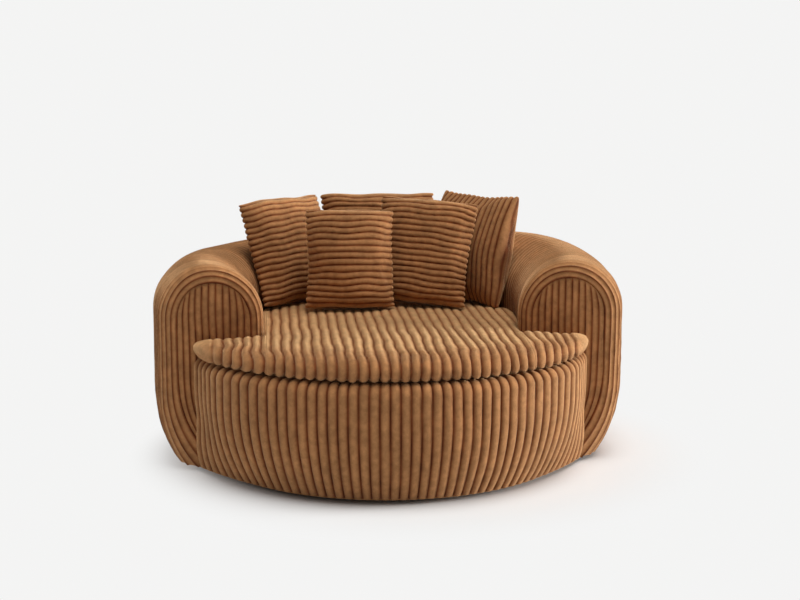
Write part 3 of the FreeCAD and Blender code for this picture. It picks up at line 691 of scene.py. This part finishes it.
# One channel's line in shares: of the nose's run, then of the top's, then back from the foot's, each with its
# share of the height. Steps are the points along each span, and tight blocks have a shorter nose
channel = {"nose": ((0.50, 0.0), (0.20, 0.07), (0.02, 0.28), (0.02, 0.52), (0.20, 0.74), (0.52, 0.865),
                    (1.0, 0.93)),
           "top": ((0.0, 0.975), (0.45, 1.0), (0.84, 0.975)),
           "foot": ((1.0, 0.92), (0.12, 0.70), (0.0, 0.42), (0.2, 0.10), (1.0, 0.0)),
           "steps": (3, 4, 5, 5, 6, 6, 8, 20, 26, 5, 4, 4, 4, 3), "underSteps": 9,
           "tightNose": 0.032, "tightSlope": 0.060, "tipPower": 3.6, "tipRise": 0.55, "tipEnd": 0.998,
           "mostNose": 0.5, "mostSlope": 0.62, "mostFoot": 0.3}


# The closed line of one channel, from under the nose, up over the crown and round the back
def seatSection(c, front, back, tight):
    tip = min(max((abs(c) - seat["tipFrom"]) / (seat["tipX"] - seat["tipFrom"]), 0), channel["tipEnd"])
    slim = math.sqrt(1 - tip ** channel["tipPower"])
    depth = back - front
    height = seatHeight(c) * slim
    low = seat["under"] + (1 - slim) * seatHeight(c) * channel["tipRise"]
    nose = min(channel["tightNose"] if tight else seat["nose"], depth * channel["mostNose"])
    slope = min(channel["tightSlope"] if tight else seat["slope"], depth * channel["mostSlope"])
    foot = min(seat["foot"], depth * channel["mostFoot"])
    shape = [(front + nose * run, low + height * rise) for run, rise in channel["nose"]]
    shape += [(front + slope + (depth - foot - slope) * run, low + height * rise) for run, rise in channel["top"]]
    shape += [(back - foot * run, low + height * rise) for run, rise in channel["foot"]]
    outside = smoothLine(shape, channel["steps"])
    under = np.linspace(outside[-1], outside[0], channel["underSteps"])[1:-1]
    return np.vstack([outside, under, outside[:1]]), len(outside)


# How the seat's cord shows: deeper at the nose, wavering over it, fading at the tips, and painted paler on top as
# a painted sheen
seatCord = {"plainFade": 0.012, "noseDeeper": 0.5, "noseReach": (0.15, 0.05), "tightShallower": 0.7,
            "tightReach": 0.045, "under": 0.15, "waver": 0.02, "topWaver": 0.09, "topWaverFrom": (-0.72, -0.52),
            "topWaverTo": (0.05, -0.30), "noseWaver": 0.12, "noseMiddle": 0.09, "noseWidth": 0.07, "front": -0.25,
            "waverSize": 0.15, "sheenFromNose": (0.07, 0.16), "sheenTowardsBack": (-0.42, -0.30), "sheenAbove": 0.02,
            "inset": 0.0008, "seed": 21}


def seatBlock(name, low, high, frontAt, backAt, tight=False):
    first, last = ((side / seat["tipX"] + 1) / 2 * seat["wales"] for side in (low, high))
    columns, across, strength, fromNose = [], [], [], []
    count = int(round((last - first) * columnsPerWale))
    end = seat["tipX"] - seatCord["inset"]
    for i in range(count + 1):
        wale = first + (last - first) * i / count
        c = min(max((wale / seat["wales"] * 2 - 1) * seat["tipX"], -end), end)
        section, shown = seatSection(c, frontAt(c), backAt(c), tight)
        columns.append(np.stack([np.full(len(section), c), section[:, 0], section[:, 1]], axis=1))
        across.append(wale)
        fade = 1 - smoothStep(seat["plainFrom"], seat["plainFrom"] + seatCord["plainFade"], abs(c))
        run = section[:, 0] - frontAt(c)
        fromNose.append(run)
        if tight:
            deep = fade * (1 - seatCord["tightShallower"] * smoothStep(seatCord["tightReach"], 0.0, run))
        else:
            deep = fade * (1 + seatCord["noseDeeper"] * smoothStep(*seatCord["noseReach"], run))
        strength.append(np.concatenate([deep[:shown], np.full(len(section) - shown, fade * seatCord["under"])]))
    points, strength, fromNose = (np.stack(rows, axis=1) for rows in (columns, strength, fromNose))
    y, above = points[..., 1], points[..., 2] - seat["under"]
    onTop = smoothStep(*seatCord["topWaverFrom"], y) * smoothStep(*seatCord["topWaverTo"], y)
    onNose = np.exp(-((fromNose - seatCord["noseMiddle"]) / seatCord["noseWidth"]) ** 2)
    onNose = onNose * (y < seatCord["front"])
    waver = seatCord["waver"] + seatCord["topWaver"] * onTop + seatCord["noseWaver"] * onNose
    # Painted sheen: the seat's top, back from the nose and above its underside, is marked to be coloured paler
    paintedSheen = (0 if tight else 1) * smoothStep(*seatCord["sheenFromNose"], fromNose)
    uneven = unevenness(points, seatCord["waverSize"], seatCord["seed"] + 5)
    points[..., 2] += seat["puff"] * uneven * (above > 0.004) * strength
    raised = points[..., 2] > seat["under"] + seatCord["sheenAbove"]
    paintedSheen = np.maximum(paintedSheen, smoothStep(*seatCord["sheenTowardsBack"], y)) * raised
    return cordedGrid(name, points, across, strength, seat["depth"],
                      waver=waver, waverSize=seatCord["waverSize"], seed=seatCord["seed"], paintedSheen=paintedSheen)


def makeSeatCushion():
    side = seat["sideX"]
    widest = armPathX(0) - roll["half"] - seat["sideGap"] - seat["ease"]

    def nose(c):
        return bow["centreY"] - math.sqrt(seat["frontRadius"] ** 2 - c ** 2)

    def besideArm(c):
        reach = abs(c) + roll["half"] + seat["sideGap"] - arm["centreX"]
        return -math.sqrt(max(arm["bend"] ** 2 - reach ** 2, 0))

    def roundBack(c):
        return math.sqrt(seat["backRadius"] ** 2 - c ** 2)

    def wingBack(c):
        return arm["faceY"] - seat["sideGap"]

    blocks = [
        seatBlock("seat_cushion", -side, side, nose, roundBack),
        seatBlock("seat_wing_left", -seat["tipX"], -side, nose, wingBack),
        seatBlock("seat_wing_right", side, seat["tipX"], nose, wingBack),
        seatBlock("seat_side_left", -widest, -side, besideArm, roundBack, tight=True),
        seatBlock("seat_side_right", side, widest, besideArm, roundBack, tight=True),
    ]
    finishPiece(joinPieces(blocks), "seat_cushion", ("seat_cushion_cover", "seat_cushion_core"))


makeBackRoll()
print("back roll made")
for makeArmPiece in (makeArmRoll, makeArmFace):
    makeArmPiece("right", 1)
    makeArmPiece("left", -1)
print("arms made")
makeBaseFront()
print("base front made")
makeSeatCushion()
print("seat cushion made")


# The scatter cushions: two panels sewn round the edge and blown up as cloth, then corded

scatters = {
    "scatter_left": {"place": (-0.2536, 0.2170, 0.4381), "turn": 42.9, "lean": 18.9, "spin": 1.5,
                     "width": 0.370, "height": 0.370, "thickness": 0.130, "pitch": 0.0200, "upright": False},
    "scatter_front": {"place": (-0.1118, 0.0192, 0.4397), "turn": -1.8, "lean": 11.2, "spin": 0.0,
                      "width": 0.295, "height": 0.339, "thickness": 0.122, "pitch": 0.0210, "upright": False},
    "scatter_rear": {"place": (0.0121, 0.3684, 0.4409), "turn": 0.0, "lean": 11.4, "spin": 0.6,
                     "width": 0.401, "height": 0.355, "thickness": 0.100, "pitch": 0.0200, "upright": False},
    "scatter_middle": {"place": (0.1064, 0.0764, 0.4446), "turn": -18.7, "lean": 17.4, "spin": -4.2,
                       "width": 0.334, "height": 0.365, "thickness": 0.120, "pitch": 0.0200, "upright": False},
    "scatter_right": {"place": (0.2701, 0.1791, 0.4358), "turn": -46.5, "lean": 16.9, "spin": -0.6,
                      "width": 0.338, "height": 0.379, "thickness": 0.118, "pitch": 0.0210, "upright": True},
}
pillow = {"drawIn": 0.008, "endShare": 0.6, "edge": 0.011, "ease": 0.014, "cornerRound": 0.007,
          "cornerPower": 8, "crossPower": 0.8,
          "cell": 0.0105, "rowStretch": 1.15, "pressure": 4.0, "frames": 20, "cap": 0.008,
          "depth": 0.0062, "waver": 0.17, "waverSize": 0.12, "folds": 0.0030, "foldSize": 0.15,
          "scallop": 0.0035, "scallopFrom": 0.88, "scallopMiddle": 0.55, "edgeInset": 0.006}


# A point of one panel: u and v run from 0 to 1 across and up, face is -1 in front and 1 behind
def pillowPoint(size, u, v, face):
    ease, thickness = pillow["ease"], size["thickness"]
    width, height = size["width"] + ease, size["height"] + ease
    run, cross = (u, v) if size["upright"] else (v, u)
    length, breadth = (width, height) if size["upright"] else (height, width)
    swell = np.sqrt(np.clip(4 * run * (1 - run), 0, 1))
    sway = np.sqrt(np.clip(4 * cross * (1 - cross), 0, 1))
    s, corner = 2 * cross - 1, pillow["cornerPower"]
    half = breadth / 2 - pillow["drawIn"] * swell - pillow["cornerRound"] * np.abs(2 * run - 1) ** corner
    ends = pillow["drawIn"] * pillow["endShare"] * sway + pillow["cornerRound"] * np.abs(s) ** corner
    bulge = (thickness - pillow["edge"]) / 2 * np.sqrt(swell) * (1 - s ** 2) ** pillow["crossPower"]
    bulge += pillow["edge"] / 2
    along = ends + (length - 2 * ends) * run
    if size["upright"]:
        return np.stack([along - length / 2, face * bulge, half * s + breadth / 2 - ease / 2], axis=-1)
    return np.stack([half * s, face * bulge, along - ease / 2], axis=-1)


def makeScatter(name, size, seed):
    columns = int(round(size["width"] / pillow["cell"]))
    rows = int(round(size["height"] / (pillow["cell"] * pillow["rowStretch"])))
    u, v = np.meshgrid(np.linspace(0, 1, columns + 1), np.linspace(0, 1, rows + 1))
    panels = []
    across = (u * size["width"] if size["upright"] else v * size["height"]) / size["pitch"]
    for face in (-1, 1):
        panel, order = gridPiece(pillowPoint(size, u, v, face))
        writeOverGrid(panel, order, "across", across)
        panels.append(panel)
    piece = joinPieces(panels)
    piece.name = name
    bpy.ops.object.mode_set(mode="EDIT")
    bpy.ops.mesh.select_all(action="DESELECT")
    bpy.ops.mesh.select_non_manifold(extend=False)
    bpy.ops.mesh.bridge_edge_loops()
    bpy.ops.mesh.select_all(action="SELECT")
    bpy.ops.mesh.normals_make_consistent(inside=False)
    bpy.ops.object.mode_set(mode="OBJECT")
    inflate(piece)
    smooth = piece.modifiers.new("Smooth cloth", "SUBSURF")
    smooth.levels = smooth.render_levels = 2
    applyModifiers(piece)
    cordPillow(piece, size, seed)
    placePillow(piece, size)
    finishPiece(piece, name, (name + "_cover", name + "_fill"))


# Blows the sewn panels up for some frames, no further than the cap from where they were cut
def inflate(piece):
    before = readPoints(piece.data)
    cloth = piece.modifiers.new("Cloth", "CLOTH")
    cloth.settings.use_pressure = True
    cloth.settings.uniform_pressure_force = pillow["pressure"]
    cloth.settings.effector_weights.gravity = 0
    cloth.settings.quality = 5
    cloth.settings.mass = 0.3
    cloth.settings.tension_stiffness = 20
    cloth.settings.compression_stiffness = 20
    cloth.settings.bending_stiffness = 0.8
    cloth.point_cache.frame_start = 1
    cloth.point_cache.frame_end = pillow["frames"]
    for number in range(1, pillow["frames"] + 1):
        scene.frame_set(number)
    applyModifiers(piece)
    move = readPoints(piece.data) - before
    length = np.linalg.norm(move, axis=1, keepdims=True)
    move *= np.minimum(1, pillow["cap"] / np.maximum(length, 1e-9))
    writePoints(piece.data, before + move)
    scene.frame_set(1)


def cordPillow(piece, size, seed):
    mesh = piece.data
    points = readPoints(mesh)
    across = readField(mesh.attributes["across"].data, "value", 1)[:, 0]
    height = waleShape(across + pillow["waver"] * unevenness(points, pillow["waverSize"], seed))
    folds = unevenness(points, pillow["foldSize"], seed + 4) * pillow["folds"]
    outward = readField(mesh.vertex_normals, "vector", 3)
    points -= outward * (pillow["depth"] * (1 - height) - folds)[:, None]
    if size["upright"]:
        side, reach = 2, points[:, 2] - size["height"] / 2
    else:
        side, reach = 0, points[:, 0]
    fromMiddle = np.abs(reach) / (np.abs(reach).max() - pillow["edgeInset"])
    edge = np.sign(reach) * smoothStep(pillow["scallopFrom"], 1.0, fromMiddle)
    points[:, side] += edge * pillow["scallop"] * (height - pillow["scallopMiddle"])
    writePoints(mesh, points)
    writeValues(mesh, "waleHeight", height)


# Spins the pillow in its own plane, leans it back and turns it, each from one axis towards the other
def placePillow(piece, size):
    points = readPoints(piece.data)
    for key, first, second in (("spin", 0, 2), ("lean", 2, 1), ("turn", 0, 1)):
        cos, sin = math.cos(math.radians(size[key])), math.sin(math.radians(size[key]))
        a, b = points[:, first].copy(), points[:, second].copy()
        points[:, first], points[:, second] = a * cos - b * sin, a * sin + b * cos
    writePoints(piece.data, points + size["place"])


for number, (name, size) in enumerate(scatters.items()):
    makeScatter(name, size, 31 + number)
    print(name, "made")


# The deck under the seat cushion, seen when it is lifted: lining cloth drawn tight over its pad,
# with the edge rolled down all round. Foot and rim give shares of the outline with a drop, and top the
# first share, the last and the count of the rings over the pad

deck = {"gap": 0.0003, "sideGap": 0.0026, "roundSteps": 48, "armSteps": 10, "middle": (0.0, -0.305),
        "foot": ((0.002, 0.016), (0.994, 0.016), (1.0, 0.008)), "rim": ((0.999, 0.001), (0.990, 0.0)),
        "top": (0.97, 0.002, 22), "loose": 0.0012, "looseSize": 0.22, "down": 0.0002, "seed": 41}


# A ring at height z with the outline's shape, at a share of its size about the middle
def shrunkRing(outline, middle, share, z):
    return np.column_stack([middle + (outline - middle) * share, np.full(len(outline), z)])


def makeDeck():
    low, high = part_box("deck_cloth")
    front, side = bow["radius"] - bow["lip"] - deck["gap"], roll["half"] + deck["sideGap"]
    faceY, inner = arm["faceY"] - deck["gap"], roll["path"] - side
    reach = math.acos((bow["centreY"] - faceY) / front)

    def besideArm(y):
        return armPathX(y) - side - arm["proud"] * (y / arm["faceY"])

    outline = arcPoints(0, bow["centreY"], front, -quarter - reach, -quarter + reach, deck["roundSteps"])
    outline += [(besideArm(y), y) for y in np.linspace(faceY, 0, deck["armSteps"], endpoint=False)]
    outline += arcPoints(0, 0, inner, 0, math.pi, deck["roundSteps"])
    outline += [(-besideArm(y), y) for y in np.linspace(0, faceY, deck["armSteps"])[1:]]
    edges = [(share, low.z - drop) for share, drop in deck["foot"]]
    edges += [(share, high.z - drop) for share, drop in deck["rim"]]
    edges += [(share, high.z) for share in np.linspace(*deck["top"])]
    outline, middle = np.array(outline), np.array(deck["middle"])
    points = closedGrid([shrunkRing(outline, middle, share, z) for share, z in edges])
    onTop = points[..., 2] > high.z - 0.0005
    loose = unevenness(points, deck["looseSize"], deck["seed"]) * deck["loose"] * onTop
    points[..., 2] = np.minimum(points[..., 2] + loose, high.z) - deck["down"]
    piece = cordedGrid("deck_lining", points, 0.5, 0.0, 0.0)
    finishPiece(piece, "base", ("deck_cloth", "deck_pad"), slot="deck_fabric")


makeDeck()
print("deck made")


# The dust cloth stapled under the base, drawn in a little from the hem all round

dust = {"inset": 0.012, "hemShare": 0.826, "front": 0.561, "frontTo": 0.86, "frontSteps": 16, "backSteps": 24,
        "corner": ((0.551, -0.337), (0.581, -0.298), (0.602, -0.262), (0.629, -0.222), (0.641, -0.19),
                   (0.648, -0.10)),
        "under": (0.985, 0.02, 14), "slack": 0.0007, "slackSize": 0.20, "slackReach": (0.98, 0.80),
        "down": 0.0002, "seed": 47}


def makeDustCloth():
    low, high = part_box("dust_cover")
    hem = roll["path"] + tuckX + dust["hemShare"] * roll["tuckRadius"] - dust["inset"]
    half = arcPoints(0, bow["centreY"], dust["front"], -quarter, dust["frontTo"] - quarter, dust["frontSteps"])
    half += dust["corner"]
    half = np.array(half + arcPoints(0, 0, hem, 0, quarter, dust["backSteps"]))
    outline = np.vstack([half, (half * (-1, 1))[::-1]])
    under = np.linspace(*dust["under"])
    edges = [(under[-1], high.z), (1.0, high.z), (1.0, low.z)] + [(share, low.z) for share in under]
    points = closedGrid([shrunkRing(outline, np.zeros(2), share, z - dust["down"]) for share, z in edges])
    slack = dust["slack"] * (1 + unevenness(points, dust["slackSize"], dust["seed"]))
    slack = slack * smoothStep(*dust["slackReach"], np.hypot(points[..., 0], points[..., 1]) / hem)
    points[..., 2] -= slack * (points[..., 2] < high.z - 0.001)
    piece = cordedGrid("dust_cloth", points, 0.5, 0.0, 0.0)
    finishPiece(piece, "base", ("dust_cover",), slot="dust_cloth")


makeDustCloth()
print("dust cloth made")


# The nodes that are carried over keep their shape and get their finish

sharpEdge = math.radians(25)


def finishCarriedNodes():
    slotOf = {part["node"]: part["material_slot"] for part in frame["record"]["subparts"]}
    for name, node in frame["nodes"].items():
        node.data.materials.clear()
        node.data.materials.append(finishes[slotOf[name]])
        pick(node)
        bpy.ops.object.shade_smooth_by_angle(angle=sharpEdge)


finishCarriedNodes()
print("carried-over pieces finished")


# Floor, backdrop, lights and camera

camera = {"place": (-0.371, -4.615, 1.273), "heading": 5.207, "pitch": 9.747, "lens": 64.88}
backdrop = {"size": 40.0, "middle": (0.10, -0.08, 0.0), "near": 0.62, "far": 0.94, "paper": (0.74, 0.755, 0.765),
            "pale": (0.905, 0.905, 0.900), "light": (1.0, 0.985, 0.965), "strength": 0.15}


def mixShaders(nodes, links, share, first, second, output):
    mix = nodes.new("ShaderNodeMixShader")
    for place, socket in enumerate((share, first, second)):
        links.new(socket, mix.inputs[place])
    links.new(mix.outputs["Shader"], nodes[output].inputs["Surface"])


# A pale floor that takes the chair's soft shadow and fades into the backdrop round it
def makeFloor():
    bpy.ops.mesh.primitive_plane_add(size=backdrop["size"], location=(0, 0, 0))
    floor = bpy.context.object
    floor.name = "studio_floor"
    material, nodes, links, skin, place = newMaterial("studio_paper")
    distance = nodes.new("ShaderNodeVectorMath")
    distance.operation = "DISTANCE"
    distance.inputs[1].default_value = backdrop["middle"]
    links.new(place, distance.inputs[0])
    fade = nodes.new("ShaderNodeMapRange")
    fade.interpolation_type = "SMOOTHSTEP"
    setInputs(fade, {"From Min": backdrop["near"], "From Max": backdrop["far"]})
    links.new(distance.outputs["Value"], fade.inputs["Value"])
    setInputs(skin, {"Base Color": (*backdrop["paper"], 1), "Roughness": 0.8, "Specular IOR Level": 0.1})
    glow = nodes.new("ShaderNodeEmission")
    glow.inputs["Color"].default_value = (*backdrop["pale"], 1)
    mixShaders(nodes, links, fade.outputs["Result"], skin.outputs["BSDF"], glow.outputs["Emission"],
               "Material Output")
    floor.data.materials.append(material)
    floor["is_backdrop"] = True


def makeWorld():
    world = bpy.data.worlds.new("studio")
    scene.world = world
    world.use_nodes = True
    nodes, links = world.node_tree.nodes, world.node_tree.links
    soft = nodes["Background"]
    setInputs(soft, {"Color": (*backdrop["light"], 1), "Strength": backdrop["strength"]})
    seen = nodes.new("ShaderNodeBackground")
    seen.inputs["Color"].default_value = (*backdrop["pale"], 1)
    path = nodes.new("ShaderNodeLightPath")
    plain = path.outputs["Is Camera Ray"]
    for ray in ("Is Glossy Ray", "Is Transmission Ray"):
        either = nodes.new("ShaderNodeMath")
        either.operation = "MAXIMUM"
        links.new(plain, either.inputs[0])
        links.new(path.outputs[ray], either.inputs[1])
        plain = either.outputs[0]
    mixShaders(nodes, links, plain, soft.outputs["Background"], seen.outputs["Background"], "World Output")


# Broad lamps far off, given by the way that their light comes from: heading from the front and height above
# the floor in degrees, how soft their shadow is and how strong they are
lights = {
    "key_overhead": {"heading": 40, "height": 76, "soft": 40, "strength": 2.55},
    "side_right": {"heading": 94, "height": 10, "soft": 20, "strength": 3.60},
    "side_left": {"heading": -80, "height": 20, "soft": 40, "strength": 0.05},
}


def makeLights():
    for name, light in lights.items():
        heading, height = math.radians(light["heading"]), math.radians(light["height"])
        comesFrom = Vector((math.sin(heading) * math.cos(height), -math.cos(heading) * math.cos(height),
                            math.sin(height)))
        bpy.ops.object.light_add(type="SUN", location=comesFrom * 5)
        lamp = bpy.context.object
        lamp.name = name
        lamp.data.energy = light["strength"]
        lamp.data.angle = math.radians(light["soft"])
        lamp.data.color = backdrop["light"]
        lamp.rotation_euler = comesFrom.to_track_quat("Z", "Y").to_euler()


def makeCamera():
    bpy.ops.object.camera_add(location=camera["place"],
                              rotation=(math.radians(90 - camera["pitch"]), 0, math.radians(-camera["heading"])))
    scene.camera = bpy.context.object
    scene.camera.data.lens = camera["lens"]
    scene.camera.data.sensor_width = 36
    scene.camera.data.clip_end = 100


makeFloor()
makeWorld()
makeLights()
makeCamera()
scene.view_settings.view_transform = "Standard"

size = {"cad": [list(cadLow), list(cadHigh)], "visual": [list(value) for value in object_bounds()]}
